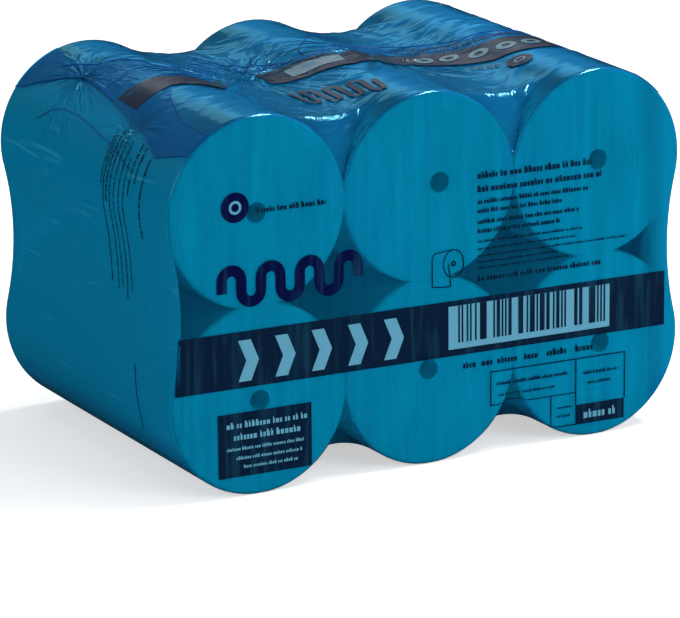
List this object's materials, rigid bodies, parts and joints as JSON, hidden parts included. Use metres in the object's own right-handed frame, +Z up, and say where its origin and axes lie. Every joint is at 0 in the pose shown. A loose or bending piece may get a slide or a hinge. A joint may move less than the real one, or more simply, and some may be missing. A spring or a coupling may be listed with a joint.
{
  "type": "toilet paper roll pack",
  "caption": "Bundle of coreless toilet paper rolls stacked end-on in rows and layers, sealed in printed translucent blue film that sags between the rolls.",
  "frame": {"origin": "under the middle of the pack, on the surface that it stands on", "axes": "+X along the pack's length, +Y from its front to its back along the rolls, +Z up"},
  "size_m": [0.4436, 0.2956, 0.2929],
  "materials": {
    "film": "glossy translucent blue polyethylene film, printed in navy",
    "paper": "matt soft white tissue"
  },
  "bodies": {
    "root": {"film_wrap": "film", "roll_front_bottom_left": "paper", "roll_front_bottom_centre": "paper", "roll_front_bottom_right": "paper", "roll_front_top_left": "paper", "roll_front_top_centre": "paper", "roll_front_top_right": "paper", "roll_middle_bottom_left": "paper", "roll_middle_bottom_centre": "paper", "roll_middle_bottom_right": "paper", "roll_middle_top_left": "paper", "roll_middle_top_centre": "paper", "roll_middle_top_right": "paper", "roll_back_bottom_left": "paper", "roll_back_bottom_centre": "paper", "roll_back_bottom_right": "paper", "roll_back_top_left": "paper", "roll_back_top_centre": "paper", "roll_back_top_right": "paper"}
  },
  "joints": []
}
